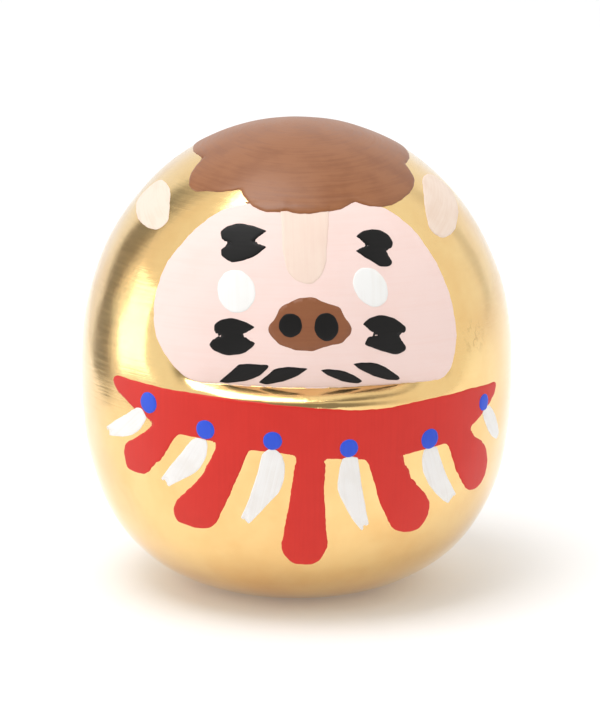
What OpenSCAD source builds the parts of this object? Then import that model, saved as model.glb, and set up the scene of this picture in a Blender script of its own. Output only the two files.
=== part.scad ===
// Daruma doll with an animal's face: a paper-pulp egg on a clay weight, chalked, gilded and hand painted.
// Millimetres, +Z up, standing on z = 0 with its axis on Z and its face towards -Y.
// Left and right are as seen by someone facing the doll, so left is -X.

/* [Egg] */
// Height over the gold leaf
doll_h = 99.5; // [80:0.5:130]
// Radius at the widest level
belly_r = 46; // [36:0.5:60]
// Height of the widest level
belly_z = 48; // [40:1:56]
// Roundness of the upper half (2 is an ellipse)
upper_round = 2.05; // [1.9:0.05:2.6]
// Roundness of the lower half
lower_round = 2.7; // [2.1:0.05:3.2]
// Radius of the flat that it stands on
foot_r = 18; // [12:0.5:22]

/* [Face hollow] */
// Radius of the ball that the face surface follows
face_r = 49; // [46:0.5:60]
// How far the face surface stands in front of the axis
face_front = 42.2; // [41:0.1:44]
// Height of that ball's centre
face_z = 55.5; // [52:0.5:60]
// Slope of the ledge under the face, in degrees from level
ledge_slope = 42; // [25:1:45]

/* [Layers] */
// Thickness of the paper-pulp wall
pulp_wall = 1.8; // [1.2:0.1:3]
// Thickness of the chalk ground
chalk = 0.35; // [0.2:0.05:0.6]
// Thickness of the gold leaf with its size and lacquer
leaf = 0.15; // [0.1:0.05:0.3]
// Thickness of one coat of paint
coat = 0.2; // [0.1:0.05:0.3]

/* [Weight] */
// Level of the ledge that the pulp shell stands on
weight_h = 9; // [6:0.5:14]
// Height of the spigot that enters the shell
spigot_h = 4; // [2:0.5:8]
// Glue gap between the spigot and the shell
glue_gap = 0.4; // [0.2:0.1:0.8]
// Depth of the dish in the top of the weight
dish = 6; // [2:0.5:9]

/* [Seam] */
// Width of the paper strip glued inside over the seam
tape_w = 12; // [6:1:20]
// Thickness of that strip
tape_t = 0.4; // [0.2:0.1:0.6]

/* [Painted pieces] */
// Radius of a middling bead
bead_r = 2; // [1.2:0.05:2.4]
// Half width of the snout
snout_w = 8.6; // [7:0.1:9.5]
// Half height of the snout
snout_h = 5.3; // [4:0.1:6]

/* [Hidden] */

$fn = 96;
bands = 22;        // cone bands in each half of the egg
arc_steps = 6;     // pieces in a bowed edge
reach = 80;        // length of the cutters, past the egg's side
cut = 1;           // how far a cutter runs past what it cuts
wide = belly_r / 46;       // the drawings below are made for this radius
tall = doll_h / 99.5;      // and for this height, and follow the egg when it changes
ball_r = face_r * tall * tall / wide;
ball_back = ball_r - face_front * wide;
ball_z = face_z * tall;
chalk_in = -leaf - chalk;
shell_in = chalk_in - pulp_wall;
foot_k = pow(1 - pow(foot_r / belly_r, lower_round), 1 / lower_round);

// Colours
gold_c = "#d9b06a";
chalk_c = "#f3efe6";
pulp_c = "#b9b2a4";
clay_c = "#a58a6c";
pink_c = "#f6ded6";
cream_c = "#f3dfd0";
hair_c = "#8a5737";
black_c = "#23211f";
white_c = "#f6f4f0";
red_c = "#cf3129";
blue_c = "#3558cc";

// ---- the egg and its layers ----

// Radius of the egg at height z, for a skin that lies `off` outside the gold leaf
function up_r(z, off) = (belly_r + off)
    * pow(max(0, 1 - pow((z - belly_z) / (doll_h - belly_z + off), upper_round)), 1 / upper_round);
function low_r(z, off) = (belly_r + off)
    * pow(max(0, 1 - pow(foot_k * (belly_z - z) / (belly_z + off), lower_round)), 1 / lower_round);
function egg_r(z, off) = z > belly_z ? up_r(z, off) : low_r(z, off);

// Solid egg inside the skin at `off`, cut off flat below the level z0
module egg(off, z0 = 0) {
    low = [for (i = [bands : -1 : 0]) belly_z - belly_z * sin(90 * i / bands)];
    high = [for (i = [1 : bands - 1]) belly_z + (doll_h - belly_z + off) * sin(90 * i / bands)];
    difference() {
        rotate_extrude()
            polygon(concat([[0, 0]],
                           [for (z = low) [low_r(z, off), z]],
                           [for (z = high) [up_r(z, off), z]],
                           [[0, doll_h + off]]));
        if (z0 > 0) translate([0, 0, -cut]) cylinder(r = reach, h = z0 + cut);
    }
}

module face_ball(off) {
    translate([0, ball_back, ball_z]) sphere(r = ball_r + off);
}

// ---- outlines ----

// Points from p up to, but without, q. A bow is the rise of the arc towards the right of p-q.
function edge(p, q, bow) = bow == 0 ? [[p.x, p.y]] :
    let (dx = q.x - p.x,
         dy = q.y - p.y,
         span = norm([dx, dy]),
         side = sign(bow) * [dy, -dx] / span,
         along = [dx, dy] / span,
         rise = abs(bow),
         rad = (span * span / 4 + rise * rise) / (2 * rise),
         half = atan2(span / 2, rad - rise),
         mid = [p.x + dx / 2, p.y + dy / 2] + side * (rise - rad))
    [for (i = [0 : arc_steps - 1])
        let (a = half * (2 * i / arc_steps - 1)) mid + rad * (side * cos(a) + along * sin(a))];

// Closed outline, anticlockwise, from corners [x, y, bow of the edge that follows]
function outline(v) = [for (i = [0 : len(v) - 1]) each edge(v[i], v[(i + 1) % len(v)], v[i][2])];
function oval(c, rx, rz) = [for (a = [0 : 12 : 348]) [c.x + rx * cos(a), c.y + rz * sin(a)]];

// ---- coats of paint ----

// Bar through the front with an outline drawn in x and z
module front_bar(points) {
    rotate([90, 0, 0]) linear_extrude(reach) polygon([for (p = points) [p.x * wide, p.y * tall]]);
}

// Bar that leaves the axis at an azimuth from the front, with an outline in its own x and in z
module side_bar(azimuth, points) {
    rotate([0, 0, azimuth]) front_bar(points);
}

// Skin of the egg between two levels, counted in coats above the gold
module egg_coat(n, below = 0) {
    difference() {
        intersection() {
            egg(coat * n);
            children();
        }
        egg(coat * below);
    }
}

// The same on the face, which follows the ball wherever that lies deeper than the egg
module face_coat(n, below = 0) {
    difference() {
        intersection() {
            egg(coat * n);
            face_ball(coat * n);
            children();
        }
        intersection() {
            egg(coat * below);
            face_ball(coat * below);
        }
    }
}

// ---- the face hollow ----

face_edge = outline([
    [-21, 52, 0.2], [25, 51.4, 0.9], [29.2, 53.4, 0.5], [30.4, 61.2, 1.3], [24, 78.5, 0.9],
    [14.4, 86.2, 0], [9, 88, 0], [-8, 87.6, 0], [-15.2, 86.2, 0.8], [-24.8, 79.2, 1.3],
    [-31.2, 66, 1.6], [-26.8, 54.4, 0.8]]);
// The face's edge seen along the ledge's slope, about the ball's centre
function along_ledge(p) =
    let (x = p.x * wide,
         z = p.y * tall - ball_z,
         out = sqrt(ball_r * ball_r - x * x - z * z))
    [x, z * cos(ledge_slope) + out * sin(ledge_slope)];
ledge_edge = [for (p = face_edge) along_ledge(p)];
ledge_lo = min([for (p = ledge_edge) p.y]);
ledge_hi = max([for (p = ledge_edge) p.y]);
ledge_mid = (ledge_lo + ledge_hi) / 2;
ledge_half = (ledge_hi - ledge_lo) / 2;
face_half = 31 * wide;    // half the width of the face

// Bar that stamps the hollow; deeper layers lie further out round it
module face_bar(off) {
    in_x = (face_half - off) / face_half;
    in_y = (ledge_half - off) / ledge_half;
    translate([0, ball_back, ball_z])
        rotate([90 + ledge_slope, 0, 0])
            linear_extrude(reach)
                polygon([for (p = ledge_edge) [p.x * in_x, ledge_mid + (p.y - ledge_mid) * in_y]]);
}

// Egg with the face hollow, inside the skin at `off`
module figure(off, z0 = 0) {
    difference() {
        egg(off, z0);
        difference() {
            face_bar(off);
            face_ball(off);
        }
    }
}

module half_space(side) {
    translate([-reach, side < 0 ? -reach : 0, 0]) cube([2 * reach, reach, doll_h]);
}

// ---- structure ----

// Clay weight: the rounded bottom of the doll, with a spigot into the shell and a dished top
module weight() {
    top_z = weight_h + spigot_h;
    spigot_r = egg_r(top_z, shell_in - glue_gap);
    dish_r = spigot_r - 6;
    ball_r = (dish_r * dish_r + dish * dish) / (2 * dish);
    color(clay_c) difference() {
        union() {
            intersection() {
                egg(chalk_in);
                cylinder(r = reach, h = weight_h);
            }
            intersection() {
                egg(shell_in - glue_gap, weight_h - cut);
                cylinder(r = reach, h = top_z);
            }
        }
        translate([0, 0, top_z - dish + ball_r]) sphere(r = ball_r);
    }
}

module weight_glue() {
    color("#d8c48e") difference() {
        intersection() {
            egg(shell_in, weight_h);
            cylinder(r = reach, h = weight_h + spigot_h);
        }
        egg(shell_in - glue_gap, weight_h - cut);
    }
}

// One moulded half of the paper-pulp shell
module shell_half(side) {
    color(pulp_c) intersection() {
        difference() {
            figure(chalk_in, weight_h);
            figure(shell_in, weight_h - cut);
        }
        half_space(side);
    }
}

module shell_front() {
    shell_half(-1);
}

module shell_back() {
    shell_half(1);
}

// Paper strip glued inside the shell, over the joint between its halves
module seam_tape() {
    color("#d9d3c2") difference() {
        intersection() {
            egg(shell_in, weight_h + spigot_h);
            translate([-reach, -tape_w / 2, 0]) cube([2 * reach, tape_w, doll_h]);
        }
        egg(shell_in - tape_t, weight_h + spigot_h - cut);
    }
}

module chalk_ground() {
    color(chalk_c) difference() {
        figure(-leaf);
        figure(chalk_in);
    }
}

module gold_leaf() {
    color(gold_c) difference() {
        figure(0);
        figure(-leaf);
    }
}

// ---- paint on the head ----

// Scalloped cap of hair, drawn from above with a corner at each notch between two lobes
hair_edge = outline([
    [-13.2, -24.8, 2.2], [-4.5, -31.5, 0.6], [4, -31.6, 0.6], [9.7, -28.8, 1.1], [18.1, -25.9, 0.9],
    [23.4, -16.2, 0.4], [21.7, -12, 1.9], [21.5, 6.5, 4.4], [10, 20.5, 4.4], [-9.5, 21.5, 4.4],
    [-20.5, 7.5, 1.7], [-20, -10.4, 0.8], [-23.3, -15.4, 1.2], [-19.8, -21.3, 0.7]]);

module hair_bar() {
    translate([0, 0, belly_z]) linear_extrude(reach) polygon([for (p = hair_edge) p * wide]);
}

module hair_cap() {
    color(hair_c) egg_coat(2) hair_bar();
}

// The face paint and the stripe stop where the hair starts
module face_panel() {
    color(pink_c) difference() {
        face_coat(1) face_bar(0);
        hair_bar();
    }
}

module forehead_stripe() {
    color(cream_c) difference() {
        face_coat(2, 1)
            front_bar(outline([[-5.4, 87, 0], [-5.3, 79, 0.1], [-4.5, 74.7, 0.5], [-0.5, 72.3, 0],
                               [0.8, 72.4, 0.4], [3.3, 76.3, 0], [4.5, 87, 0]]));
        hair_bar();
    }
}

// Each ear is one slanting stroke on a shoulder, drawn from the azimuth that it faces, clear of the face
module ear(azimuth, corners) {
    color(pink_c) difference() {
        egg_coat(1) side_bar(azimuth, outline(corners));
        face_bar(0);
    }
}

module ear_left() {
    ear(-68, [[-9.5, 83.6, 0.2], [-3.8, 81.6, 0.5], [7.6, 80.2, 0.4], [9.2, 82.1, 0.2],
              [3.6, 86.7, 0.7], [-6, 88, 0.9]]);
}

module ear_right() {
    ear(66, [[-12.5, 79.6, 0.4], [-9.4, 78.5, 0.3], [-2.2, 80.4, 0.2], [9, 84.8, 0.9],
             [4.4, 88.9, 0.3], [-1.4, 89, 0.4], [-8.7, 85.2, 0.2], [-12.6, 81.3, 0.2]]);
}

module eye_left() {
    color(white_c) face_coat(2, 1) front_bar(oval([-14.7, 70.6], 3.7, 4.1));
}

module eye_right() {
    color(white_c) face_coat(2, 1) front_bar(oval([12.3, 71.2], 3.6, 3.95));
}

// Two brush strokes that meet at a waist
module double_stroke(corners) {
    color(black_c) face_coat(2, 1) front_bar(outline(corners));
}

module brow_left() {
    double_stroke([[-17.5, 81.6, 0.1], [-17.3, 80.4, 0], [-15.4, 79.6, 0], [-17.6, 78.3, 0],
                   [-17.5, 77.2, 0], [-15.5, 76, 0.6], [-8.5, 79.2, 0], [-11.5, 80.1, 0],
                   [-8.3, 82.2, 0.1], [-13.2, 83.3, 0.5]]);
}

module brow_right() {
    double_stroke([[9.7, 80.9, 0], [12.3, 79.1, 0], [9.4, 78.2, 0], [13.8, 75.3, 0.3],
                   [16.5, 75, 0.1], [16.9, 75.6, 0], [15.5, 78.2, 0], [17, 78.3, 0.1],
                   [17.3, 79.3, 0.6], [13.7, 81.9, 0.5]]);
}

module cheek_left() {
    double_stroke([[-19.2, 63.9, 0.1], [-19.1, 62.6, 0], [-17.4, 61.8, 0], [-19.6, 60.9, 0],
                   [-20.3, 59.9, 0.2], [-18.5, 58.4, 0.3], [-15.4, 58.1, 0.6], [-11.1, 60.6, 0],
                   [-14.2, 62.1, 0], [-11.1, 63.8, 0.2], [-15.5, 65.4, 0.5]]);
}

module cheek_right() {
    double_stroke([[10.6, 64.1, 0], [13.7, 61.6, 0], [11.6, 61.4, 0], [10.9, 60.1, 0.2],
                   [16.2, 57.9, 0.3], [18.9, 57.9, 0.2], [19.5, 59, 0], [17.5, 61.7, 0],
                   [19.3, 61.9, 0.1], [19.4, 63, 0.4], [14.7, 65.6, 0.6]]);
}

// The four slanting whisker strokes, from left to right
whiskers = [
    [[-18.4, 52.4, 0.2], [-14.1, 52.6, 0.6], [-8.5, 55.8, 0.1], [-8.6, 56.3, 0.1], [-14.4, 56.2, 0]],
    [[-10.5, 52.6, 0.1], [-8.6, 52.3, 0.6], [-0.6, 55.6, 0.1], [-4.8, 55.9, 0.1], [-7.5, 55.4, 0]],
    [[1.9, 55.2, 0.6], [9.2, 52.2, 0.1], [10.5, 52.5, 0.1], [9.2, 53.5, 0.5], [3.1, 55.4, 0]],
    [[8.5, 56.2, 0.8], [17.6, 52.2, 0.1], [18.3, 52.5, 0.2], [16.1, 54.3, 0.4], [11.6, 56.4, 0.1]]];

module whisker(i) {
    color(black_c) face_coat(2, 1) front_bar(outline(whiskers[i]));
}

snout_at = [0, 64.6];
nostril_x = 3.7;

module snout() {
    color(hair_c) face_coat(2, 1) front_bar(oval(snout_at, snout_w, snout_h));
}

module nostril(side) {
    color(black_c) face_coat(3, 2)
        front_bar(oval(snout_at + [side * nostril_x, -0.3], 2.3, 2.6));
}

module nostril_left() {
    nostril(-1);
}

module nostril_right() {
    nostril(1);
}

// ---- bib, beads and tassels ----

band_edge = outline([
    [-38.7, 50.8, 0.4], [-39.4, 48.7, 0.3], [-33, 43.4, 0], [-18.7, 40.6, 0.3], [3, 37.8, 0.5],
    [29, 37.6, 1], [38.6, 44, 0], [40.4, 47.7, 0], [21.4, 48, -0.3], [0.3, 48.3, 0], [-22.2, 50, 0.2]]);

// Each drip: its two top corners' x, its top z, then the x, z and radius of its round end
drips = [[-31, -26.5, 44, -34, 34, 3.6], [-19, -12.5, 42, -23.6, 25, 3.9],
         [-3.2, 2.6, 40, -1.2, 18.2, 4.3], [11.2, 18.4, 40, 20.3, 24, 4.2],
         [29, 34.5, 43, 35, 28.6, 3.2]];

function drip_edge(d) =
    let (end = [d[3], d[4]],
         axis = end - [(d[0] + d[1]) / 2, d[2]],
         across = [-axis.y, axis.x] / norm(axis) * d[5],
         left = end - across,
         right = end + across)
    outline([[d[0], d[2], -0.5], [left.x, left.y, d[5]], [right.x, right.y, -0.5], [d[1], d[2], 0]]);

// Each bead: azimuth from the front, height, and its size against a middling one
beads = [[-45, 46.7, 1.12], [-27.6, 42.9, 1.02], [-10, 41.5, 0.97],
         [9.3, 39.7, 0.96], [32.2, 39.7, 1.08], [53.3, 44.4, 0.9]];
// Each tassel about its bead: a round head, a belly on one side, and a forked tip
tassels = [
    [[-3.6, -1.7, 0], [-14.2, -8.3, 0], [-11.6, -7.6, 0], [-13.6, -9.1, 0], [-8, -8.6, 1.1],
     [-0.7, -3.3, 0.9]],
    [[-3.4, -2.8, 0], [-10.9, -12.2, 0], [-9.2, -11.6, 0], [-9.9, -13.2, 0], [-2.6, -9.4, 0.5],
     [0.2, -4.4, 0.2], [0.1, -2.2, 0.6]],
    [[-2.2, -3.1, -0.4], [-6.5, -17, 0], [-5.5, -16.6, 0], [-5.9, -18.1, 0], [0.8, -11.4, 1],
     [1.9, -3.2, 1.5]],
    [[-1.3, -2.2, 0.3], [-2.1, -8.7, 0.5], [3.9, -18.2, 0], [3.9, -16.3, 0], [4.7, -16.7, -0.3],
     [1.9, -2.1, 0.4]],
    [[-1.3, -2.3, 0.3], [-1.2, -6.7, 1], [7.4, -15.1, 0], [7.8, -14, 0], [9.2, -13.7, -0.7],
     [2.1, -2, 0.4]],
    [[-0.3, -2.1, 1.2], [7.6, -9.7, 0], [8.8, -8.7, 0.7], [2.5, -1.1, 0.4]]];

module bead_bar(i) {
    rotate([0, 0, beads[i][0]]) translate([0, 0, beads[i][1] * tall])
        rotate([90, 0, 0]) cylinder(r = bead_r * beads[i][2], h = reach);
}

module tassel_bar(i) {
    rotate([0, 0, beads[i][0]]) translate([0, 0, beads[i][1] * tall])
        rotate([90, 0, 0]) linear_extrude(reach) polygon(outline(tassels[i]));
}

// Each piece is let into the one that it crosses, so that all of them lie on the gold
module bib() {
    color(red_c) difference() {
        egg_coat(1) union() {
            front_bar(band_edge);
            for (d = drips) front_bar(drip_edge(d));
        }
        face_bar(0);
        for (i = [0 : len(beads) - 1]) {
            bead_bar(i);
            tassel_bar(i);
        }
    }
}

module bead(i) {
    color(blue_c) egg_coat(3) bead_bar(i);
}

module tassel(i) {
    color(white_c) difference() {
        egg_coat(2) tassel_bar(i);
        bead_bar(i);
    }
}

weight();
weight_glue();
shell_front();
shell_back();
seam_tape();
chalk_ground();
gold_leaf();
face_panel();
forehead_stripe();
hair_cap();
ear_left();
ear_right();
eye_left();
eye_right();
brow_left();
brow_right();
cheek_left();
cheek_right();
whisker(0);  // whisker_1
whisker(1);  // whisker_2
whisker(2);  // whisker_3
whisker(3);  // whisker_4
snout();
nostril_left();
nostril_right();
bib();
bead(0);  // bead_1
bead(1);  // bead_2
bead(2);  // bead_3
bead(3);  // bead_4
bead(4);  // bead_5
bead(5);  // bead_6
tassel(0);  // tassel_1
tassel(1);  // tassel_2
tassel(2);  // tassel_3
tassel(3);  // tassel_4
tassel(4);  // tassel_5
tassel(5);  // tassel_6
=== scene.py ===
import math

import bpy
import numpy as np
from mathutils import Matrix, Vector
from mathutils.geometry import delaunay_2d_cdt


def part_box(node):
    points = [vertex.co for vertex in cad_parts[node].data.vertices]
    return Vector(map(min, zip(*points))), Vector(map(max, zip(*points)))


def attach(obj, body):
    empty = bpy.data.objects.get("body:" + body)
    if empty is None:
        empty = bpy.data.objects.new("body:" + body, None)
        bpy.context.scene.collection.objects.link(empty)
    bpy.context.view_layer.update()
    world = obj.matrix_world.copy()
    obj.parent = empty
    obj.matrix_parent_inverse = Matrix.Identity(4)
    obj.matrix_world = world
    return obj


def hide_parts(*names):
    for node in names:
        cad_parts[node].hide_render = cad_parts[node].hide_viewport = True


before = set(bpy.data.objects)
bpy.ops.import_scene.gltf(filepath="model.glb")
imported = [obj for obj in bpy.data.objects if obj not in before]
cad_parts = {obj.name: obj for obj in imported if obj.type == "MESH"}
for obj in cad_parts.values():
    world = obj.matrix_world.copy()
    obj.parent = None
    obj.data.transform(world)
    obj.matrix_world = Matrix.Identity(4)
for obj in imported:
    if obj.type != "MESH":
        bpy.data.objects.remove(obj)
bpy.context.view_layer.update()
print("frame loaded:", len(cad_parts), "pieces")

mm = 0.001
tiny = 1e-9

goldLow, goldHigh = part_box("gold_leaf")
egg = {
    "height": goldHigh.z / mm,
    "radius": goldHigh.x / mm,
    "widestLevel": 48.0,
    "upperRound": 2.05,     # 2 would be an ellipse
    "lowerRound": 2.7,
    "footRadius": 18.0,
}
hollow = {
    "ballRadius": 49.0,     # the face follows a ball
    "ballBack": 6.8,        # its centre lies this far behind the axis
    "ballLevel": 55.5,
    "shallowFrom": 14.0,    # towards its sides the hollow gets shallower, from here
    "shallowTo": 31.0,      # to here, by this share
    "shallowBy": 0.6,
    "tableStep": 0.2,       # spacing of the depth table
    "tableTurn": 62.0,      # the table reaches this far round each side, in degrees
    "tableLow": 40.0,
    "tableHigh": 92.0,
}
# corners x, z and the bow of the edge that follows, anticlockwise as one faces the doll
faceCorners = [(-21, 52, 0.2), (25, 51.4, 0.9), (29.2, 53.4, 0.5), (30.4, 61.2, 1.3), (24, 78.5, 0.9),
               (14.4, 86.2, 0), (9, 88, 0), (-8, 87.6, 0), (-15.2, 86.2, 0.8), (-24.8, 79.2, 1.3),
               (-31.2, 66, 1.6), (-26.8, 54.4, 0.8)]
rimCorners = [(-24, 49.6, 0.1), (0, 48.4, 0.1), (25, 47.9, 1.4), (33.4, 50.8, 0.8), (35, 61.5, 1.4),
              (27.5, 79.8, 0.9), (15.8, 88, 0), (9, 89.4, 0), (-8, 89, 0), (-16.5, 88, 0.8),
              (-28, 80, 1.3), (-36, 66.2, 1.9), (-33, 52.4, 1.2)]
# hand-made unevenness: direction in waves per metre, height in millimetres, phase
ripples = [((31, 12, 44), 0.035, 0.3), ((-48, 35, 21), 0.03, 1.9), ((22, -57, 38), 0.03, 4.1),
           ((77, 30, -52), 0.015, 2.7), ((-35, 84, 66), 0.014, 5.2), ((120, -40, 95), 0.006, 0.9)]


def footFactor():
    return (1 - (egg["footRadius"] / egg["radius"]) ** egg["lowerRound"]) ** (1 / egg["lowerRound"])


# How far z is from the widest level, as a share of the half that it is in, and that half's roundness.
def eggLevel(z):
    wide, top = egg["widestLevel"], egg["height"]
    upper = z > wide
    share = np.where(upper, (z - wide) / (top - wide), footFactor() * (wide - z) / wide)
    return np.clip(share, 0, 1), np.where(upper, egg["upperRound"], egg["lowerRound"]), upper


# A superellipse: radius = widest radius * (1 - share^n)^(1/n).
def eggRadius(z):
    share, n, upper = eggLevel(z)
    return egg["radius"] * (1 - share ** n) ** (1 / n)


# The upper half the other way round: level = widest + height above * (1 - (radius/widest radius)^n)^(1/n).
def eggTop(radius):
    n = egg["upperRound"]
    rise = (1 - np.clip(radius / egg["radius"], 0, 1) ** n) ** (1 / n)
    return egg["widestLevel"] + (egg["height"] - egg["widestLevel"]) * rise


# Distance from the axis to the face's ball, by the cosine rule.
def ballRadius(turn, z):
    back = hollow["ballBack"]
    c = back * np.cos(turn)
    d = z - hollow["ballLevel"]
    return -c + np.sqrt(np.maximum(c * c - back * back - d * d + hollow["ballRadius"] ** 2, tiny))


# Closed outline from corners; each edge is a parabola whose middle stands out by its bow.
def bowedOutline(corners, steps=8):
    c = np.array(corners, float)
    a, b = c[:, :2], np.roll(c[:, :2], -1, axis=0)
    t = np.linspace(0, 1, steps, endpoint=False)[None, :, None]
    d = b - a
    side = np.stack([d[:, 1], -d[:, 0]], 1) / np.linalg.norm(d, axis=1)[:, None]
    points = a[:, None] + d[:, None] * t + side[:, None] * c[:, None, 2:3] * 4 * t * (1 - t)
    return points.reshape(-1, 2)


# The outline walked at even steps, with its corners softened by a circular running mean.
def evenOutline(points, step, soften=0.0):
    loop = np.vstack([points, points[:1]])
    along = np.concatenate([[0], np.cumsum(np.linalg.norm(np.diff(loop, axis=0), axis=1))])
    n = max(int(round(along[-1] / step)), 16)
    s = np.arange(n) * along[-1] / n
    even = np.stack([np.interp(s, along, loop[:, k]) for k in (0, 1)], 1)
    if soften > 0:
        turns = np.fft.fftfreq(n, along[-1] / n)
        keep = np.exp(-2 * (np.pi * soften * turns) ** 2)
        even = np.stack([np.real(np.fft.ifft(np.fft.fft(even[:, k]) * keep)) for k in (0, 1)], 1)
    return even


# Outward unit normals of an anticlockwise outline.
def outlineNormals(points):
    d = np.roll(points, -1, axis=0) - np.roll(points, 1, axis=0)
    d /= np.linalg.norm(d, axis=1)[:, None] + tiny
    return np.stack([d[:, 1], -d[:, 0]], 1)


# How far each point lies inside an outline: distance to the nearest edge, negative outside.
def insideBy(p, outline):
    a, b = outline, np.roll(outline, -1, axis=0)
    d = b - a
    length2 = (d ** 2).sum(1) + tiny
    out = np.empty(len(p))
    for lo in range(0, len(p), 8000):
        q = p[lo:lo + 8000, None]
        t = np.clip(((q - a) * d).sum(2) / length2, 0, 1)
        near = np.sqrt((((a + t[..., None] * d) - q) ** 2).sum(2).min(1))
        above = (a[:, 1] > q[..., 1]) != (b[:, 1] > q[..., 1])
        cross = a[:, 0] + (q[..., 1] - a[:, 1]) / np.where(d[:, 1] == 0, tiny, d[:, 1]) * d[:, 0]
        odd = (above & (q[..., 0] < cross)).sum(1) % 2 == 1
        out[lo:lo + 8000] = np.where(odd, near, -near)
    return out


faceOutline = evenOutline(bowedOutline(faceCorners), 0.8, 0.5)
rimOutline = evenOutline(bowedOutline(rimCorners), 0.8, 0.8)


# Depth of the face hollow below the egg. On the face it reaches the ball wherever that is deeper.
# On the ledge it falls off as (1 - t)^2, t from the face's edge to the rim: a crisp foot and a round lip.
def makeDepthTable():
    turns = np.radians(np.arange(-hollow["tableTurn"], hollow["tableTurn"] + 0.01, hollow["tableStep"]))
    levels = np.arange(hollow["tableLow"], hollow["tableHigh"] + 0.01, hollow["tableStep"])
    turn, z = np.meshgrid(turns, levels)
    turn, z = turn.ravel(), z.ravel()
    whole = eggRadius(z)
    deep = np.maximum(whole - ballRadius(turn, z), 0)
    side = np.clip((np.abs(whole * np.sin(turn)) - hollow["shallowFrom"])
                   / (hollow["shallowTo"] - hollow["shallowFrom"]), 0, 1)
    deep *= 1 - hollow["shallowBy"] * side * side * (3 - 2 * side)
    depth = np.zeros_like(deep)
    for i in range(3):
        p = np.stack([(whole - depth) * np.sin(turn), z], 1)
        inFace, inRim = insideBy(p, faceOutline), insideBy(p, rimOutline)
        t = np.clip(-inFace / np.maximum(-inFace + inRim, 0.05), 0, 1)
        t = np.where(inFace >= 0, 0, np.where(inRim <= 0, 1, t))
        depth = deep * (1 - t) ** 2
    return turns, levels, depth.reshape(len(levels), len(turns))


depthTable = makeDepthTable()
print("face hollow worked out")


def hollowDepth(turn, z):
    turns, levels, table = depthTable
    i = (turn - turns[0]) / (turns[1] - turns[0])
    j = (z - levels[0]) / (levels[1] - levels[0])
    inTable = (i >= 0) & (i < len(turns) - 1) & (j >= 0) & (j < len(levels) - 1)
    i, j = np.where(inTable, i, 0), np.where(inTable, j, 0)
    i0, j0 = i.astype(int), j.astype(int)
    fi, fj = i - i0, j - j0
    low = table[j0, i0] * (1 - fi) + table[j0, i0 + 1] * fi
    high = table[j0 + 1, i0] * (1 - fi) + table[j0 + 1, i0 + 1] * fi
    return np.where(inTable, low * (1 - fj) + high * fj, 0)


# Sum of slow sine waves through space, fading out at the foot.
def ripple(p):
    total = sum(high * np.sin(p @ (np.array(k) * 2 * np.pi * mm) + phase) for k, high, phase in ripples)
    return total * np.clip(p[:, 2] / 4, 0, 1)


# Point at an azimuth and level, lifted along the surface's normal, and the normal.
# The normal is the gradient of the superellipse taken at radius + hollow depth.
def onDoll(turn, z, lift=0.0):
    depth = hollowDepth(turn, z)
    whole = eggRadius(z)
    e = 0.15
    eTurn = e / egg["radius"]
    slopeTurn = (hollowDepth(turn + eTurn, z) - hollowDepth(turn - eTurn, z)) / (2 * e)
    slopeZ = (hollowDepth(turn, z + e) - hollowDepth(turn, z - e)) / (2 * e)
    share, n, upper = eggLevel(z)
    gradR = (whole / egg["radius"]) ** (n - 1) / egg["radius"]
    half = np.where(upper, egg["height"] - egg["widestLevel"], -egg["widestLevel"] / footFactor())
    gradZ = share ** (n - 1) / half
    s, c = np.sin(turn), np.cos(turn)
    outward = np.stack([s, -c, 0 * s], 1)
    sideways = np.stack([c, s, 0 * s], 1)
    upward = np.array([[0, 0, 1.0]])
    normal = gradR[:, None] * (outward + slopeTurn[:, None] * sideways) + (gradZ + gradR * slopeZ)[:, None] * upward
    normal /= np.linalg.norm(normal, axis=1)[:, None] + tiny
    p = (whole - depth)[:, None] * outward + z[:, None] * upward
    return p + normal * (ripple(p) + lift)[:, None], normal


# Front drawing, or a side drawing turned by swing: u across, v = level. Solves radius * sin(turn - swing) = u.
def frontWay(u, v, swing=0.0):
    turn = np.full_like(u, swing)
    for i in range(8):
        radius = np.maximum(eggRadius(v) - hollowDepth(turn, v), 1)
        turn = swing + np.arcsin(np.clip(u / radius, -0.999, 0.999))
    return turn, v


# Drawing from above: u and v are x and y. Solves eggRadius(z) - depth = distance from the axis.
def topWay(u, v):
    turn = np.arctan2(u, -v)
    radius = np.hypot(u, v)
    z = eggTop(radius)
    for i in range(6):
        z = eggTop(radius + hollowDepth(turn, z))
    return turn, z

# sRGB hex to linear RGBA.
def linear(code):
    c = np.array([int(code[i:i + 2], 16) for i in (0, 2, 4)]) / 255
    c = np.where(c <= 0.04045, c / 12.92, ((c + 0.055) / 1.055) ** 2.4)
    return (*c.tolist(), 1.0)


# Adds one node: its settings, its sockets' values, and its links as socket: (node, output).
def addNode(material, kind, values=None, links=None, **settings):
    tree = material.node_tree
    node = tree.nodes.new(kind)
    for name, value in settings.items():
        setattr(node, name, value)
    for name, value in (values or {}).items():
        node.inputs[name].default_value = value
    for name, (source, output) in (links or {}).items():
        tree.links.new(source.outputs[output], node.inputs[name])
    return node


def newMaterial(name):
    material = bpy.data.materials.new(name)
    material.use_nodes = True
    material.node_tree.nodes.clear()
    return material


def setRamp(node, stops):
    ramp = node.color_ramp
    while len(ramp.elements) < len(stops):
        ramp.elements.new(0.5)
    for element, (place, colour) in zip(ramp.elements, stops):
        element.position = place
        element.color = colour


def grey(v):
    return (v, v, v, 1.0)


goldFinish = {
    "bright": "f0cd8b",     # fresh leaf
    "deep": "eac07c",       # where the lacquer lies thicker
    # colour of darker brown streaks on the leaf, and the small balls they are kept within
    "darkStreakColour": "9a6c33",
    "darkStreakPlaces": [(0.0315, -0.0265, 0.058, 0.006), (-0.0255, -0.0335, 0.052, 0.003)],   # x, y, z, radius
    "roughness": (0.12, 0.22),
    "lacquer": 0.5,
}


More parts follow.
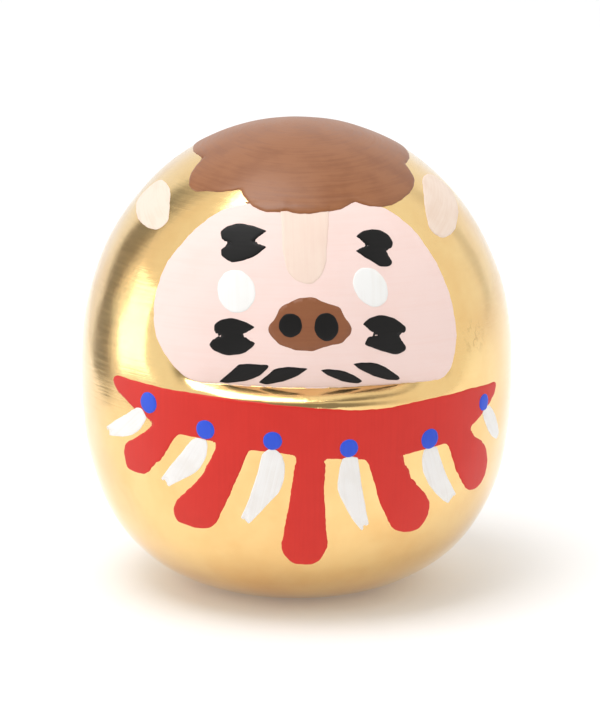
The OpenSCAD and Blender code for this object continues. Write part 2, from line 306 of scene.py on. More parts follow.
# Brass leaf under clear lacquer on chalked paper: a warm mirror, softened by the paper's unevenness.
def makeGoldLeaf():
    material = newMaterial("goldLeafOnChalk")
    place = addNode(material, "ShaderNodeTexCoord")
    here = {"Vector": (place, "Object")}
    # one noise cell is 1 / scale metres: 16 mm clouds, 2.5 mm dimples, 0.5 mm tooth
    cloud = addNode(material, "ShaderNodeTexNoise", {"Scale": 62, "Detail": 4, "Roughness": 0.6}, here)
    dimple = addNode(material, "ShaderNodeTexNoise", {"Scale": 400, "Detail": 3, "Roughness": 0.55}, here)
    tooth = addNode(material, "ShaderNodeTexNoise", {"Scale": 2000, "Detail": 2}, here)
    # brush marks of the size coat: 0.5 mm across, 12 mm long, round the doll
    lay = addNode(material, "ShaderNodeMapping", {"Scale": (90, 90, 2000)}, here)
    brush = addNode(material, "ShaderNodeTexNoise", {"Scale": 1, "Detail": 3, "Distortion": 0.5},
                    {"Vector": (lay, "Vector")})
    ramp = addNode(material, "ShaderNodeValToRGB", links={"Fac": (cloud, "Fac")})
    setRamp(ramp, [(0.35, linear(goldFinish["deep"])), (0.62, linear(goldFinish["bright"]))])
    # darker brown streaks: torn lines of a warped noise, kept within a few small balls
    torn = addNode(material, "ShaderNodeTexNoise", {"Scale": 620, "Detail": 4, "Distortion": 0.8}, here)
    line = addNode(material, "ShaderNodeMapRange", {"From Min": 0.53, "From Max": 0.6}, {"Value": (torn, "Fac")})
    colour = ramp
    for x, y, z, radius in goldFinish["darkStreakPlaces"]:
        near = addNode(material, "ShaderNodeVectorMath", {1: (x, y, z)}, here, operation="DISTANCE")
        inBall = addNode(material, "ShaderNodeMapRange", {"From Min": radius * 0.3, "From Max": radius,
                                                          "To Min": 0.6, "To Max": 0}, {"Value": (near, "Value")})
        mark = addNode(material, "ShaderNodeMath", links={0: (line, "Result"), 1: (inBall, "Result")},
                       operation="MULTIPLY")
        colour = addNode(material, "ShaderNodeMixRGB", {"Color2": linear(goldFinish["darkStreakColour"])},
                         {"Fac": (mark, "Value"), "Color1": (colour, "Color")})
    rough = addNode(material, "ShaderNodeMapRange", {"From Min": 0.3, "From Max": 0.7,
                                                     "To Min": goldFinish["roughness"][0],
                                                     "To Max": goldFinish["roughness"][1]},
                    {"Value": (brush, "Fac")})
    bumpSlow = addNode(material, "ShaderNodeBump", {"Strength": 0.22, "Distance": 0.0001},
                       {"Height": (dimple, "Fac")})
    bumpBrush = addNode(material, "ShaderNodeBump", {"Strength": 0.4, "Distance": 0.00004},
                        {"Height": (brush, "Fac"), "Normal": (bumpSlow, "Normal")})
    bumpTooth = addNode(material, "ShaderNodeBump", {"Strength": 0.2, "Distance": 0.00001},
                        {"Height": (tooth, "Fac"), "Normal": (bumpBrush, "Normal")})
    shader = addNode(material, "ShaderNodeBsdfPrincipled", {"Metallic": 1.0, "Coat Weight": goldFinish["lacquer"],
                                                            "Coat Roughness": 0.12},
                     {"Base Color": (colour, "Color"), "Roughness": (rough, "Result"),
                      "Normal": (bumpTooth, "Normal")})
    addNode(material, "ShaderNodeOutputMaterial", links={"Surface": (shader, "BSDF")})
    return material


# main colour, thin colour (where the brush ran dry), roughness low and high, brush depth in mm, and shine:
# 0.5 is a plain dielectric, chalky paint has less
paints = {
    "pinkFacePaint": ("f5dad2", "f4d7ce", 0.45, 0.55, 0.012, 0.3),
    "creamPaint": ("f0d9c9", "edd3c3", 0.45, 0.55, 0.012, 0.3),
    "earPaint": ("eed9c8", "e8cfbb", 0.42, 0.55, 0.012, 0.3),
    "brownHairPaint": ("97603a", "8a5430", 0.33, 0.42, 0.03, 0.45),
    "brownSnoutPaint": ("8f5a3b", "8a5538", 0.40, 0.50, 0.015, 0.3),
    "blackPaint": ("121110", "161413", 0.42, 0.50, 0.012, 0.25),
    "whiteFacePaint": ("f3f2ef", "f0eeea", 0.42, 0.50, 0.01, 0.3),
    "whiteTasselPaint": ("f0eeeb", "eae6e1", 0.40, 0.50, 0.02, 0.3),
    "redBibPaint": ("d32c21", "cf291e", 0.40, 0.48, 0.015, 0.3),
    "bluePaint": ("3055d6", "2c50ce", 0.42, 0.50, 0.01, 0.3),
}


# Water-based artist's paint laid with a soft brush: satin, with fine ridges along the stroke.
def makePaint(name):
    main, thin, roughLow, roughHigh, depth, shine = paints[name]
    material = newMaterial(name)
    stroke = addNode(material, "ShaderNodeUVMap", uv_map="stroke")
    place = addNode(material, "ShaderNodeTexCoord")
    # the stroke map is in millimetres: 0.6 mm bristle marks that run on for 16 mm
    bristle = addNode(material, "ShaderNodeMapping", {"Scale": (1.7, 0.06, 1)}, {"Vector": (stroke, "UV")})
    streak = addNode(material, "ShaderNodeTexNoise", {"Scale": 1, "Detail": 3, "Roughness": 0.55,
                                                      "Distortion": 0.25}, {"Vector": (bristle, "Vector")})
    # uneven cover: 6 mm clouds, and 0.4 mm grain of the chalk below
    cloud = addNode(material, "ShaderNodeTexNoise", {"Scale": 160, "Detail": 3}, {"Vector": (place, "Object")})
    grain = addNode(material, "ShaderNodeTexNoise", {"Scale": 2500, "Detail": 2}, {"Vector": (place, "Object")})
    cover = addNode(material, "ShaderNodeMath", {2: 0.0}, {0: (streak, "Fac"), 1: (cloud, "Fac")},
                    operation="MULTIPLY_ADD")
    ramp = addNode(material, "ShaderNodeValToRGB", links={"Fac": (cover, "Value")})
    setRamp(ramp, [(0.14, linear(thin)), (0.30, linear(main))])
    rough = addNode(material, "ShaderNodeMapRange", {"From Min": 0.3, "From Max": 0.7,
                                                     "To Min": roughLow, "To Max": roughHigh},
                    {"Value": (streak, "Fac")})
    ridges = addNode(material, "ShaderNodeBump", {"Strength": 0.5, "Distance": depth * mm},
                     {"Height": (streak, "Fac")})
    fine = addNode(material, "ShaderNodeBump", {"Strength": 0.25, "Distance": 0.00002},
                   {"Height": (grain, "Fac"), "Normal": (ridges, "Normal")})
    shader = addNode(material, "ShaderNodeBsdfPrincipled", {"IOR": 1.5, "Specular IOR Level": shine},
                     {"Base Color": (ramp, "Color"), "Roughness": (rough, "Result"), "Normal": (fine, "Normal")})
    addNode(material, "ShaderNodeOutputMaterial", links={"Surface": (shader, "BSDF")})
    return material


# colour, second colour, pattern size in mm, roughness
innerFinishes = {
    "weight": ("bakedClay", "a5876a", "8f7256", 1.2, 0.85),
    "weight_glue": ("hideGlue", "c9a86a", "b8924f", 2.0, 0.35),
    "shell_front": ("paperPulp", "b9b2a4", "9f988a", 0.8, 0.9),
    "shell_back": ("paperPulp", "b9b2a4", "9f988a", 0.8, 0.9),
    "seam_tape": ("pastedPaperStrip", "d9d3c2", "c8c1ac", 0.5, 0.8),
}


# Matt body materials that only show from below or in a cut: a two-tone grain of the given size.
def makeInner(name, colour, second, size, roughness):
    material = newMaterial(name)
    place = addNode(material, "ShaderNodeTexCoord")
    grain = addNode(material, "ShaderNodeTexNoise", {"Scale": 1 / (size * mm), "Detail": 5, "Roughness": 0.65},
                    {"Vector": (place, "Object")})
    blotch = addNode(material, "ShaderNodeTexNoise", {"Scale": 110, "Detail": 3}, {"Vector": (place, "Object")})
    both = addNode(material, "ShaderNodeMath", {2: 0.0}, {0: (grain, "Fac"), 1: (blotch, "Fac")},
                   operation="MULTIPLY_ADD")
    ramp = addNode(material, "ShaderNodeValToRGB", links={"Fac": (both, "Value")})
    setRamp(ramp, [(0.15, linear(second)), (0.36, linear(colour))])
    bump = addNode(material, "ShaderNodeBump", {"Strength": 0.6, "Distance": 0.0001}, {"Height": (grain, "Fac")})
    shader = addNode(material, "ShaderNodeBsdfPrincipled", {"Roughness": roughness, "IOR": 1.5},
                     {"Base Color": (ramp, "Color"), "Normal": (bump, "Normal")})
    addNode(material, "ShaderNodeOutputMaterial", links={"Surface": (shader, "BSDF")})
    return material

# Two sheets with the same triangles, the lower one turned over, and a wall round their free edge.
def closeSheet(top, bottom, triangles):
    n = len(top)
    edges = np.concatenate([triangles[:, [0, 1]], triangles[:, [1, 2]], triangles[:, [2, 0]]])
    free = edges[~np.isin(edges[:, 0] * n + edges[:, 1], edges[:, 1] * n + edges[:, 0])]
    a, b = free[:, 0], free[:, 1]
    walls = np.concatenate([np.stack([b, a, a + n], 1), np.stack([b, a + n, b + n], 1)])
    faces = np.concatenate([triangles, triangles[:, ::-1] + n, walls])
    return np.vstack([top, bottom]), faces


def addPiece(name, points, faces, material, slotName, *nodes, stroke=None):
    mesh = bpy.data.meshes.new(name)
    mesh.from_pydata((points * mm).tolist(), [], faces.tolist())
    if stroke is not None:
        layer = mesh.uv_layers.new(name="stroke")
        corner = np.empty(len(mesh.loops), np.int32)
        mesh.loops.foreach_get("vertex_index", corner)
        layer.data.foreach_set("uv", stroke[corner].astype(np.float32).ravel())
    mesh.materials.append(material)
    mesh.shade_smooth()
    piece = bpy.data.objects.new(name, mesh)
    bpy.context.scene.collection.objects.link(piece)
    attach(piece, "root")
    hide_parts(*nodes)
    return piece


# Delaunay triangles over flat points; loops are runs of point numbers kept as edges.
def triangulate(points, loops=(), inside=False):
    edges = [(loop[i], loop[(i + 1) % len(loop)]) for loop in loops for i in range(len(loop))]
    out = delaunay_2d_cdt([Vector(p) for p in points.tolist()], edges, [], 1 if inside else 0, 1e-6, False)
    flat = np.array([list(v) for v in out[0]])
    triangles = np.array([list(f) for f in out[2]])
    a, b, c = flat[triangles[:, 0]], flat[triangles[:, 1]], flat[triangles[:, 2]]
    area = (b[:, 0] - a[:, 0]) * (c[:, 1] - a[:, 1]) - (b[:, 1] - a[:, 1]) * (c[:, 0] - a[:, 0])
    triangles[area < 0] = triangles[area < 0][:, ::-1]
    return flat, triangles

goldMesh = {
    "frontTurn": 56.0,     # finer columns out to here, in degrees
    "frontStep": 0.55,     # spacing in the face's field, mm
    "backStep": 1.7,
    "fieldLow": 37.0,      # levels of the face's field
    "fieldHigh": 91.0,
    "leaf": 0.15,
    "chalk": 0.33,
}


# Flat drawing of the whole skin: x = azimuth as millimetres round the belly, y = way up the profile.
# A rectangular grid, finer in front, with the face's edge and the rim let in as exact lines.
def makeSkinGrid():
    clear = 0.25        # grid points nearer than this to a line are left out
    t = np.linspace(0, 1, 4000)
    z = np.concatenate([egg["widestLevel"] * (1 - np.cos(t * np.pi / 2)),
                        egg["widestLevel"] + (egg["height"] - egg["widestLevel"]) * np.sin(t * np.pi / 2)])
    z = np.unique(np.concatenate([egg["widestLevel"] * t, z]))
    r = eggRadius(z)
    way = np.concatenate([[0], np.cumsum(np.hypot(np.diff(z), np.diff(r)))])
    roundBelly = egg["radius"]
    lowWay, highWay = np.interp([goldMesh["fieldLow"], goldMesh["fieldHigh"]], z, way)
    edge = np.radians(goldMesh["frontTurn"]) * roundBelly
    half = np.pi * roundBelly

    def spread(a, b, gap):
        return np.linspace(a, b, max(int(round((b - a) / gap)), 1) + 1)

    fine, coarse = goldMesh["frontStep"], goldMesh["backStep"]
    xs = np.unique(np.concatenate([spread(-half, -edge, coarse), spread(-edge, edge, fine),
                                   spread(edge, half, coarse)]))
    ys = np.unique(np.concatenate([spread(0, 6, 0.6), spread(6, lowWay, coarse * 0.8),
                                   spread(lowWay, highWay, fine), spread(highWay, way[-1], coarse * 0.8)]))
    gx, gy = np.meshgrid(xs, ys)
    grid = np.stack([gx.ravel(), gy.ravel()], 1)
    # thin the fine columns above and below the face's field
    number = np.meshgrid(np.arange(len(xs)), np.arange(len(ys)))[0].ravel()
    offField = (grid[:, 1] < lowWay - 1) | (grid[:, 1] > highWay + 1)
    grid = grid[~(offField & (np.abs(grid[:, 0]) < edge - 1) & (number % 3 > 0))]

    def toDrawing(outline):
        turn, level = frontWay(outline[:, 0], outline[:, 1])
        return np.stack([turn * roundBelly, np.interp(level, z, way)], 1)

    face = evenOutline(toDrawing(faceOutline), 0.45)
    rim = evenOutline(toDrawing(rimOutline), 0.6)
    out = outlineNormals(face)
    near = rim[np.argmin(((face[:, None] - rim[None]) ** 2).sum(2), 1)]
    extra = [face, face + out * 0.14, face - out * 0.14, face + (near - face) * 0.4,
             face + (near - face) * 0.7, rim]
    lines = np.vstack(extra)
    keep = np.ones(len(grid), bool)
    close = np.where((np.abs(grid[:, 0]) < edge) & (grid[:, 1] > lowWay) & (grid[:, 1] < highWay))[0]
    for lo in range(0, len(close), 4000):
        part = close[lo:lo + 4000]
        gap = ((grid[part, None] - lines[None]) ** 2).sum(2).min(1)
        keep[part] = gap > clear ** 2
    grid = grid[keep]
    n = len(grid)
    flat, triangles = triangulate(np.vstack([grid, lines]), [list(range(n, n + len(face)))])
    return flat[:, 0] / roundBelly, np.interp(flat[:, 1], way, z), triangles


# A layer of the skin between two depths below the surface, ending flat on the ground.
def makeSkin(name, outer, inner, material, slotName, node):
    turn, z, triangles = skinGrid
    sheets = []
    for depth in (outer, inner):
        p, normal = onDoll(turn, z, np.full_like(z, -depth))
        foot = z < 1e-6
        radius = egg["footRadius"] - depth / np.hypot(normal[foot, 0], normal[foot, 1])
        p[foot] = np.stack([radius * np.sin(turn[foot]), -radius * np.cos(turn[foot]), 0 * radius], 1)
        sheets.append(p)
    # the drawing's two ends meet at the back, and its top edge is one point
    key = np.round(sheets[0], 4) + 0.0
    key[z > egg["height"] - 1e-6] = (0, 0, 0)
    where, first, back = np.unique(key, axis=0, return_index=True, return_inverse=True)
    t = back.reshape(-1)[triangles]
    t = t[(t[:, 0] != t[:, 1]) & (t[:, 1] != t[:, 2]) & (t[:, 2] != t[:, 0])]
    points, faces = closeSheet(sheets[0][first], sheets[1][first], t)
    return addPiece(name, points, faces, material, slotName, node)


skinGrid = makeSkinGrid()
goldMaterial = makeGoldLeaf()
goldSkin = makeSkin("goldLeafSkin", 0.0, goldMesh["leaf"], goldMaterial, "gold_leaf", "gold_leaf")
chalkMaterial = makeInner("chalkAndGlueGround", "f1ece2", "e0d9ca", 0.6, 0.8)
makeSkin("chalkGround", goldMesh["leaf"] + 0.02, goldMesh["leaf"] + goldMesh["chalk"], chalkMaterial, "chalk",
         "chalk_ground")
print("gold skin:", len(goldSkin.data.polygons), "faces")

coatShape = {
    "thick": 0.13,       # one coat, mm
    "edge": 0.45,        # width over which its edge rounds off
    "sink": 0.05,        # how far its underside lies in what it covers
    "wobble": 0.06,      # unsteadiness of the brush along an edge
}
laidCoats = {}


# Quarter ellipse from the border up to full thickness.
def coatRise(inside, thick, edge):
    t = np.clip(inside / edge, 0, 1)
    return thick * np.sqrt(1 - (1 - t) ** 2)


# Height of the coats already laid at these places.
def risenBy(names, turn, z):
    total = np.zeros_like(z)
    radius = eggRadius(z) - hollowDepth(turn, z)
    for name in names:
        coat = laidCoats[name]
        if coat["way"] == "top":
            flat = np.stack([radius * np.sin(turn), -radius * np.cos(turn)], 1)
        else:
            flat = np.stack([radius * np.sin(turn - coat["swing"]), z], 1)
        total += coatRise(insideBy(flat, coat["border"]), coat["thick"], coat["edge"])
    return total


# One painted shape: its outline is filled with points, laid on the doll, and closed underneath.
def paintCoat(name, border, paint, slotName, nodes, way="front", swing=0.0, coats=1, over=(), step=0.5,
              edge=None, soften=0.3, wobble=None, dome=0.0, strokeTurn=0.0, circling=False):
    edge = edge or coatShape["edge"]
    wobble = coatShape["wobble"] if wobble is None else wobble
    border = evenOutline(border, 0.3, soften)
    s = np.arange(len(border)) * 0.3
    loops = len(border) * 0.3
    waves = sum(np.sin(2 * np.pi * (round(loops / size) * s / loops) + phase) * high
                for size, high, phase in ((7.3, 0.6, 1.1), (3.1, 0.5, 4.0), (1.7, 0.3, 2.2)))
    border = border + outlineNormals(border) * (waves * wobble)[:, None]
    out = outlineNormals(border)
    rings = [border]
    for inset in (0.04, 0.14, 0.28, 0.5):
        gap = inset * edge / 0.5
        ring = border - out * gap
        rings.append(ring[insideBy(ring, border) > gap * 0.92])
    low, high = border.min(0), border.max(0)
    gx, gy = np.meshgrid(np.arange(low[0], high[0], step), np.arange(low[1], high[1], step * 0.866))
    gx = gx + (np.arange(gx.shape[0]) % 2)[:, None] * step / 2
    grid = np.stack([gx.ravel(), gy.ravel()], 1)
    grid = grid[insideBy(grid, border) > edge + step * 0.4]
    flat, triangles = triangulate(np.vstack(rings + [grid]), [list(range(len(border)))], inside=True)
    inside = np.maximum(insideBy(flat, border), 0)
    thick = coats * coatShape["thick"]
    turn, z = topWay(flat[:, 0], flat[:, 1]) if way == "top" else frontWay(flat[:, 0], flat[:, 1], swing)
    below = risenBy(over, turn, z)
    rise = coatRise(inside, thick, edge)
    if dome:
        rise = rise + dome * (1 - (1 - inside / inside.max()) ** 2)
    top, normal = onDoll(turn, z, below + rise)
    bottom, normal = onDoll(turn, z, below - coatShape["sink"])
    points, faces = closeSheet(top, bottom, triangles)
    if circling:
        d = flat - flat.mean(0)
        stroke = np.stack([np.hypot(d[:, 0], d[:, 1]), np.arctan2(d[:, 1], d[:, 0]) * low[1]], 1)
    else:
        c, q = math.cos(math.radians(strokeTurn)), math.sin(math.radians(strokeTurn))
        stroke = np.stack([flat[:, 0] * c + flat[:, 1] * q, -flat[:, 0] * q + flat[:, 1] * c], 1)
    laidCoats[name] = {"border": border, "way": way, "swing": swing, "thick": thick, "edge": edge}
    if paint not in madePaints:
        madePaints[paint] = makePaint(paint)
    return addPiece(name, points, faces, madePaints[paint], slotName, *nodes,
                    stroke=np.vstack([stroke, stroke]))


madePaints = {}


def ovalOutline(x, z, rx, rz, tilt=0.0):
    a = np.linspace(0, 2 * np.pi, 48, endpoint=False)
    c, s = math.cos(math.radians(tilt)), math.sin(math.radians(tilt))
    u, v = rx * np.cos(a), rz * np.sin(a)
    return np.stack([x + u * c - v * s, z + u * s + v * c], 1)


paintCoat("facePanel", faceOutline, "pinkFacePaint", "pink_paint", ["face_panel"], step=0.8, soften=0.1,
          strokeTurn=90)
paintCoat("foreheadStripe", bowedOutline([(-5.4, 87, 0), (-5.3, 79, 0.1), (-4.5, 74.7, 0.5), (-0.5, 72.3, 0),
                                          (0.8, 72.4, 0.4), (3.3, 76.3, 0), (4.5, 87, 0)]),
          "creamPaint", "cream_paint", ["forehead_stripe"], over=["facePanel"], soften=0.5)

hairCorners = [(-13.2, -24.8, 2.2), (-4.5, -31.5, 0.6), (4, -31.6, 0.6), (9.7, -28.8, 1.1), (18.1, -25.9, 0.9),
               (23.4, -16.2, 0.4), (21.7, -12, 1.9), (21.5, 6.5, 4.4), (10, 20.5, 4.4), (-9.5, 21.5, 4.4),
               (-20.5, 7.5, 1.7), (-20, -10.4, 0.8), (-23.3, -15.4, 1.2), (-19.8, -21.3, 0.7)]
paintCoat("hairCap", bowedOutline(hairCorners, 12), "brownHairPaint", "brown_paint", ["hair_cap"], way="top",
          coats=2, over=["facePanel", "foreheadStripe"], step=0.7, soften=0.3, edge=0.7, circling=True)

ears = {
    "Left": (-68.0, [(-9.5, 83.6, 0.2), (-3.8, 81.6, 0.5), (7.6, 80.2, 0.4), (9.2, 82.1, 0.2), (3.6, 86.7, 0.7),
                     (-6, 88, 0.9)]),
    "Right": (66.0, [(-12.5, 79.6, 0.4), (-9.4, 78.5, 0.3), (-2.2, 80.4, 0.2), (9, 84.8, 0.9), (4.4, 88.9, 0.3),
                     (-1.4, 89, 0.4), (-8.7, 85.2, 0.2), (-12.6, 81.3, 0.2)]),
}
for side, (swing, corners) in ears.items():
    paintCoat("ear" + side, bowedOutline(corners), "earPaint", "pink_paint", ["ear_" + side.lower()],
              swing=math.radians(swing), soften=0.6, strokeTurn=70 if side == "Left" else -70)

paintCoat("eyeLeft", ovalOutline(-14.7, 70.6, 3.75, 4.1), "whiteFacePaint", "white_paint", ["eye_left"],
          over=["facePanel"])
paintCoat("eyeRight", ovalOutline(12.3, 71.2, 3.1, 4.25, 39), "whiteFacePaint", "white_paint", ["eye_right"],
          over=["facePanel"])

doubleStrokes = {
    "browLeft": [(-17.5, 81.6, 0.1), (-17.3, 80.4, 0), (-15.4, 79.6, 0), (-17.6, 78.3, 0), (-17.5, 77.2, 0),
                 (-15.5, 76, 0.6), (-8.5, 79.2, 0), (-11.5, 80.1, 0), (-8.3, 82.2, 0.1), (-13.2, 83.3, 0.5)],
    "browRight": [(9.7, 80.9, 0), (12.3, 79.1, 0), (9.4, 78.2, 0), (13.8, 75.3, 0.3), (16.5, 75, 0.1),
                  (16.9, 75.6, 0), (15.5, 78.2, 0), (17, 78.3, 0.1), (17.3, 79.3, 0.6), (13.7, 81.9, 0.5)],
    "cheekLeft": [(-19.2, 63.9, 0.1), (-19.1, 62.6, 0), (-17.4, 61.8, 0), (-19.6, 60.9, 0), (-20.3, 59.9, 0.2),
                  (-18.5, 58.4, 0.3), (-15.4, 58.1, 0.6), (-11.1, 60.6, 0), (-14.2, 62.1, 0),
                  (-11.1, 63.8, 0.2), (-15.5, 65.4, 0.5)],
    "cheekRight": [(10.6, 64.1, 0), (13.7, 61.6, 0), (11.6, 61.4, 0), (10.9, 60.1, 0.2), (16.2, 57.9, 0.3),
                   (18.9, 57.9, 0.2), (19.5, 59, 0), (17.5, 61.7, 0), (19.3, 61.9, 0.1), (19.4, 63, 0.4),
                   (14.7, 65.6, 0.6)],
}
for name, corners in doubleStrokes.items():
    node = name.replace("Left", "_left").replace("Right", "_right")
    paintCoat(name, bowedOutline(corners), "blackPaint", "black_paint", [node], over=["facePanel"], step=0.35,
              soften=0.14, edge=0.4, strokeTurn=90)

whiskers = [
    [(-18.4, 52.4, 0.2), (-14.1, 52.6, 0.6), (-8.5, 55.8, 0.1), (-8.6, 56.3, 0.1), (-14.4, 56.2, 0)],
    [(-10.5, 52.6, 0.1), (-8.6, 52.3, 0.6), (-0.6, 55.6, 0.1), (-4.8, 55.9, 0.1), (-7.5, 55.4, 0)],
    [(1.9, 55.2, 0.6), (9.2, 52.2, 0.1), (10.5, 52.5, 0.1), (9.2, 53.5, 0.5), (3.1, 55.4, 0)],
    [(8.5, 56.2, 0.8), (17.6, 52.2, 0.1), (18.3, 52.5, 0.2), (16.1, 54.3, 0.4), (11.6, 56.4, 0.1)]]
for i, corners in enumerate(whiskers):
    paintCoat(f"whisker{i + 1}", bowedOutline(corners), "blackPaint", "black_paint", [f"whisker_{i + 1}"],
              over=["facePanel"], step=0.35, soften=0.2, edge=0.4, strokeTurn=115 if i < 2 else 65)

snoutCorners = [(-8.7, 64.1, 0.5), (-6.1, 68.1, 0.3), (-3, 69.6, 0.1), (0.4, 69.9, 0.3), (5.9, 67.9, 0.4),
                (8.6, 63.6, 0.2), (8.2, 62.1, 0), (7.1, 61.7, 0), (6.4, 60.5, 0.3), (0.5, 59.1, 0.1),
                (-3.5, 59.3, 0.2), (-6.6, 60.4, 0.3), (-8.5, 62.5, 0)]
paintCoat("snout", bowedOutline(snoutCorners), "brownSnoutPaint", "brown_paint", ["snout"], over=["facePanel"],
          soften=0.7, strokeTurn=90)
for side, x, z, rx, rz, tilt in (("Left", -4.1, 64.3, 2.3, 2.4, 0), ("Right", 3.1, 63.9, 2.4, 2.85, 12)):
    paintCoat("nostril" + side, ovalOutline(x, z, rx, rz, tilt), "blackPaint", "black_paint",
              ["nostril_" + side.lower()], over=["facePanel", "snout"], step=0.35, edge=0.4)
print("face painted")

bibCorners = [
    (-38.9, 50.8, 0.3), (-39.6, 49.4, 0.3), (-38.3, 47.2, 0), (-35.7, 45, 0), (-31.2, 42.5, 0),
    (-33.4, 40.2, 0), (-37.1, 36.9, 0.2), (-37.5, 34, 0), (-37.2, 31.6, 0.2), (-36.4, 30.9, 0.2),
    (-32.8, 31.3, -0.3), (-30.1, 35.2, 0), (-26.8, 41.4, 0), (-18.7, 40.5, 0),
    (-21.9, 33, 0), (-26.9, 26.7, 0.4), (-27.6, 23.2, 0.8), (-25.2, 21.3, 0.5), (-21, 21.1, 0.4),
    (-18.8, 23.6, 0), (-12.7, 39.5, 0), (-2.9, 38.5, 0),
    (-3.9, 32.5, 0), (-5.7, 20.1, 0.7), (-4.8, 15.4, 0.8), (-1.2, 13.6, 1.0), (2.6, 15.8, 0.6), (3.1, 20.5, 0),
    (2.4, 30, 0), (2.3, 37.8, 0), (11.4, 37, 0),
    (14.1, 27.2, 0), (16.2, 22.5, 0.7), (19.9, 19.4, 1.0), (24.1, 21.6, 0.5), (24.6, 26.1, 0.3), (20.8, 31.2, 0),
    (18.1, 37.1, 0), (28.5, 38.1, 0),
    (30.6, 31.7, 0), (32.6, 27.4, 0.3), (35, 25.2, 0.8), (37.9, 28.1, 0.3), (38, 32.9, 0.3), (36.5, 36, 0),
    (34.8, 37.6, 0), (33.5, 39.9, 0), (36.3, 41.7, 0), (38.8, 44, 0.1), (40, 46, 0),
    (40.2, 47.7, 0), (33.6, 48.3, 0), (21.4, 48, -0.3), (9, 47.5, 0), (0.3, 48.3, 0), (-13.5, 49.5, 0),
    (-22.2, 50.1, 0), (-31.1, 50.4, 0), (-36, 50.7, 0)]
paintCoat("bib", bowedOutline(bibCorners, 6), "redBibPaint", "red_paint", ["bib"], step=0.6, soften=0.7,
          edge=0.5)

# azimuth and level of each bead, and its size against a middling one
beads = [(-45, 46.7, 1.12), (-27.6, 42.9, 1.02), (-10, 41.5, 0.97), (9.3, 39.7, 0.96), (32.2, 39.7, 1.08),
         (53.3, 44.4, 0.9)]
beadShape = {"radius": 2.0, "dome": 0.1}
# each tassel about its bead: a round head, a belly on one side, and a forked tip
tassels = [
    [(-3.6, -1.7, 0), (-14.7, -8, 0), (-11.5, -7.8, 0), (-13.5, -9.6, 0), (-8, -8.6, 1.1), (-0.7, -3.3, 0.9)],
    [(-3.4, -2.8, 0), (-11.3, -12.1, 0), (-9.1, -11.2, 0), (-9.5, -13.5, 0), (-2.6, -9.4, 0.5),
     (0.2, -4.4, 0.2), (0.1, -2.2, 0.6)],
    [(-2.2, -3.1, -0.4), (-6.9, -17.2, 0), (-5.4, -16, 0), (-5.3, -18.4, 0), (0.8, -11.4, 1), (1.9, -3.2, 1.5)],
    [(-1.3, -2.2, 0.3), (-2.1, -8.7, 0.5), (3.7, -18.6, 0), (3.7, -16.1, 0), (5.1, -17.2, -0.3),
     (1.9, -2.1, 0.4)],
    [(-1.3, -2.3, 0.3), (-1.2, -6.7, 1), (7.5, -15.5, 0), (7.4, -13.6, 0), (9.5, -13.9, -0.7), (2.1, -2, 0.4)],
    [(-0.3, -2.1, 1.2), (7.6, -9.7, 0), (8.8, -8.7, 0.7), (2.5, -1.1, 0.4)]]
for i, ((turn, level, size), corners) in enumerate(zip(beads, tassels)):
    shape = bowedOutline(corners, 10) + (0, level)
    lean = shape.mean(0) - (0, level)
    swing = math.radians(turn)
    radius = beadShape["radius"] * size
    paintCoat(f"tassel{i + 1}", shape, "whiteTasselPaint", "white_paint", [f"tassel_{i + 1}"], swing=swing,
              over=["bib"], step=0.4, soften=0.12, edge=0.4,
              strokeTurn=math.degrees(math.atan2(lean[0], -lean[1])))
    paintCoat(f"bead{i + 1}", ovalOutline(0, level, radius, radius), "bluePaint", "blue_paint",
              [f"bead_{i + 1}"], swing=swing, over=["bib", f"tassel{i + 1}"], step=0.35, edge=0.5,
              dome=beadShape["dome"], wobble=0.03)
print("bib, tassels and beads painted")

madeInner = {}
for node, finish in innerFinishes.items():
    if finish[0] not in madeInner:
        madeInner[finish[0]] = makeInner(*finish)
    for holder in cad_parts[node].material_slots:
        holder.material = madeInner[finish[0]]

# Opal acrylic table with a faint tooth, lit a little from below. It ends close on the doll's left.
def makeFloor():
    material = newMaterial("opalAcrylicTable")
    place = addNode(material, "ShaderNodeTexCoord")
    tooth = addNode(material, "ShaderNodeTexNoise", {"Scale": 300, "Detail": 3}, {"Vector": (place, "Object")})
    ramp = addNode(material, "ShaderNodeValToRGB", links={"Fac": (tooth, "Fac")})
    setRamp(ramp, [(0.3, grey(0.88)), (0.7, grey(0.9))])
    shader = addNode(material, "ShaderNodeBsdfPrincipled", {"Roughness": 0.7, "Emission Strength": 0.14},
                     {"Base Color": (ramp, "Color"), "Emission Color": (ramp, "Color")})
    addNode(material, "ShaderNodeOutputMaterial", links={"Surface": (shader, "BSDF")})
    mesh = bpy.data.meshes.new("floor")
    mesh.from_pydata([(-0.2, -2, 0), (2, -2, 0), (2, 2, 0), (-0.4, 2, 0), (-0.2, 0.1, 0)], [], [(0, 1, 2, 3, 4)])
    mesh.materials.append(material)
    floor = bpy.data.objects.new("floor", mesh)
    bpy.context.scene.collection.objects.link(floor)


camera = {
    "azimuth": -4.0,
    "elevation": 13.0,
    "distance": 0.7,
    "aim": (0.0007, 0.0, 0.0476),
    "viewHeight": 0.1543,      # height of the view at the doll
    "sensor": 36.0,
}


def unitTowards(azimuth, elevation):
    a, e = math.radians(azimuth), math.radians(elevation)
    return Vector((math.sin(a) * math.cos(e), -math.cos(a) * math.cos(e), math.sin(e)))


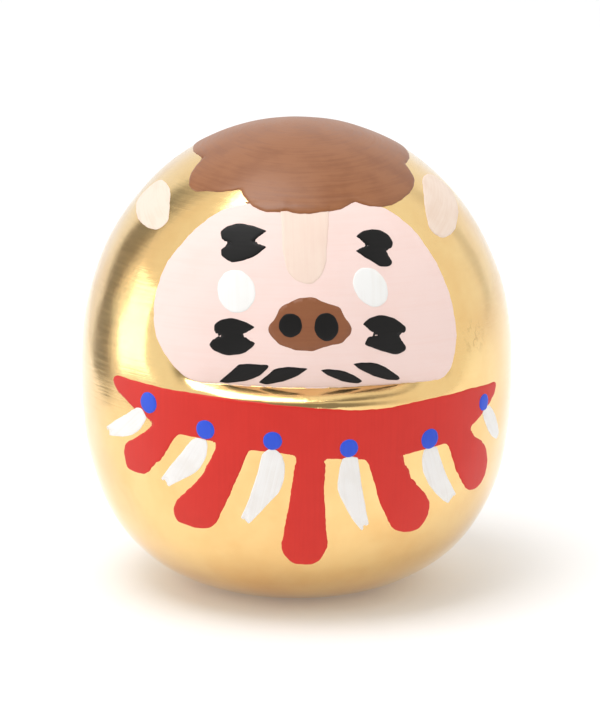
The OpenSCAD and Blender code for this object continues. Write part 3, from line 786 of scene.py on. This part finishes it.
def makeCamera():
    data = bpy.data.cameras.new("camera")
    data.sensor_fit = "VERTICAL"
    data.sensor_height = camera["sensor"]
    data.lens = camera["sensor"] * camera["distance"] / camera["viewHeight"]
    data.clip_start = 0.01
    item = bpy.data.objects.new("camera", data)
    bpy.context.scene.collection.objects.link(item)
    back = unitTowards(camera["azimuth"], camera["elevation"])
    item.location = Vector(camera["aim"]) + back * camera["distance"]
    item.rotation_euler = back.to_track_quat("Z", "Y").to_euler()
    bpy.context.scene.camera = item


# azimuth and elevation seen from the doll, distance, width, height, radiance, and what it lights
softboxes = {
    "leftStrip": (-98, 5, 1.1, 0.55, 0.5, 1.8, "mirrors"),
    "leftFill": (-62, 25, 1.2, 0.8, 0.8, 0.9, "paint"),
    "topSoftbox": (-55, 72, 1.2, 0.75, 0.7, 4.2, "both"),
}


def makeLights():
    for name, (azimuth, elevation, distance, width, height, radiance, lit) in softboxes.items():
        data = bpy.data.lights.new(name, "AREA")
        data.shape = "RECTANGLE"
        data.size, data.size_y = width, height
        data.energy = radiance * math.pi * width * height
        item = bpy.data.objects.new(name, data)
        bpy.context.scene.collection.objects.link(item)
        towards = unitTowards(azimuth, elevation)
        item.location = Vector((0, 0, 0.05)) + towards * distance
        item.rotation_euler = towards.to_track_quat("Z", "Y").to_euler()
        item.visible_diffuse = lit != "mirrors"
        item.visible_glossy = lit != "paint"


# what is not white in the room, as ellipses seen from the doll:
# azimuth, elevation, half width and half height in degrees, softness of the edge, radiance
roomPatches = {
    "dimRoomInFront": (0, 22, 42, 30, 0.35, 0.3),
    "gapBesideTheSet": (-131, 8, 9.5, 45, 0.45, 0.3),
    "dimCornerBehind": (127, 10, 5, 40, 0.5, 0.77),
    "darkCeilingRight": (55, 68, 15, 11, 0.4, 0.25),
}


# A white room with darker patches. Each is a unit ball about a direction, stretched to its size.
def makeRoom():
    world = bpy.data.worlds.new("studio")
    bpy.context.scene.world = world
    world.use_nodes = True
    world.node_tree.nodes.clear()
    place = addNode(world, "ShaderNodeTexCoord")
    colour = addNode(world, "ShaderNodeRGB")
    colour.outputs["Color"].default_value = grey(1.0)
    for azimuth, elevation, wide, tall, soft, radiance in roomPatches.values():
        direction = unitTowards(azimuth, elevation)
        turn = (0, -math.radians(elevation), math.radians(azimuth - 90))
        size = (0.8, math.sin(math.radians(wide)), math.sin(math.radians(tall)))
        local = addNode(world, "ShaderNodeMapping", {"Location": direction, "Rotation": turn, "Scale": size},
                        {"Vector": (place, "Generated")}, vector_type="TEXTURE")
        away = addNode(world, "ShaderNodeVectorMath", links={0: (local, "Vector")}, operation="LENGTH")
        within = addNode(world, "ShaderNodeMapRange", {"From Min": 1 - soft, "From Max": 1 + soft,
                                                       "To Min": 1, "To Max": 0}, {"Value": (away, "Value")},
                         interpolation_type="SMOOTHSTEP")
        colour = addNode(world, "ShaderNodeMixRGB", {"Color2": grey(radiance)},
                         {"Fac": (within, "Result"), "Color1": (colour, "Color")})
    sky = addNode(world, "ShaderNodeBackground", {"Strength": 1.0}, {"Color": (colour, "Color")})
    addNode(world, "ShaderNodeOutputWorld", links={"Surface": (sky, "Background")})


makeFloor()
makeCamera()
makeLights()
makeRoom()
bpy.context.scene.view_settings.view_transform = "Standard"
print("studio set up")
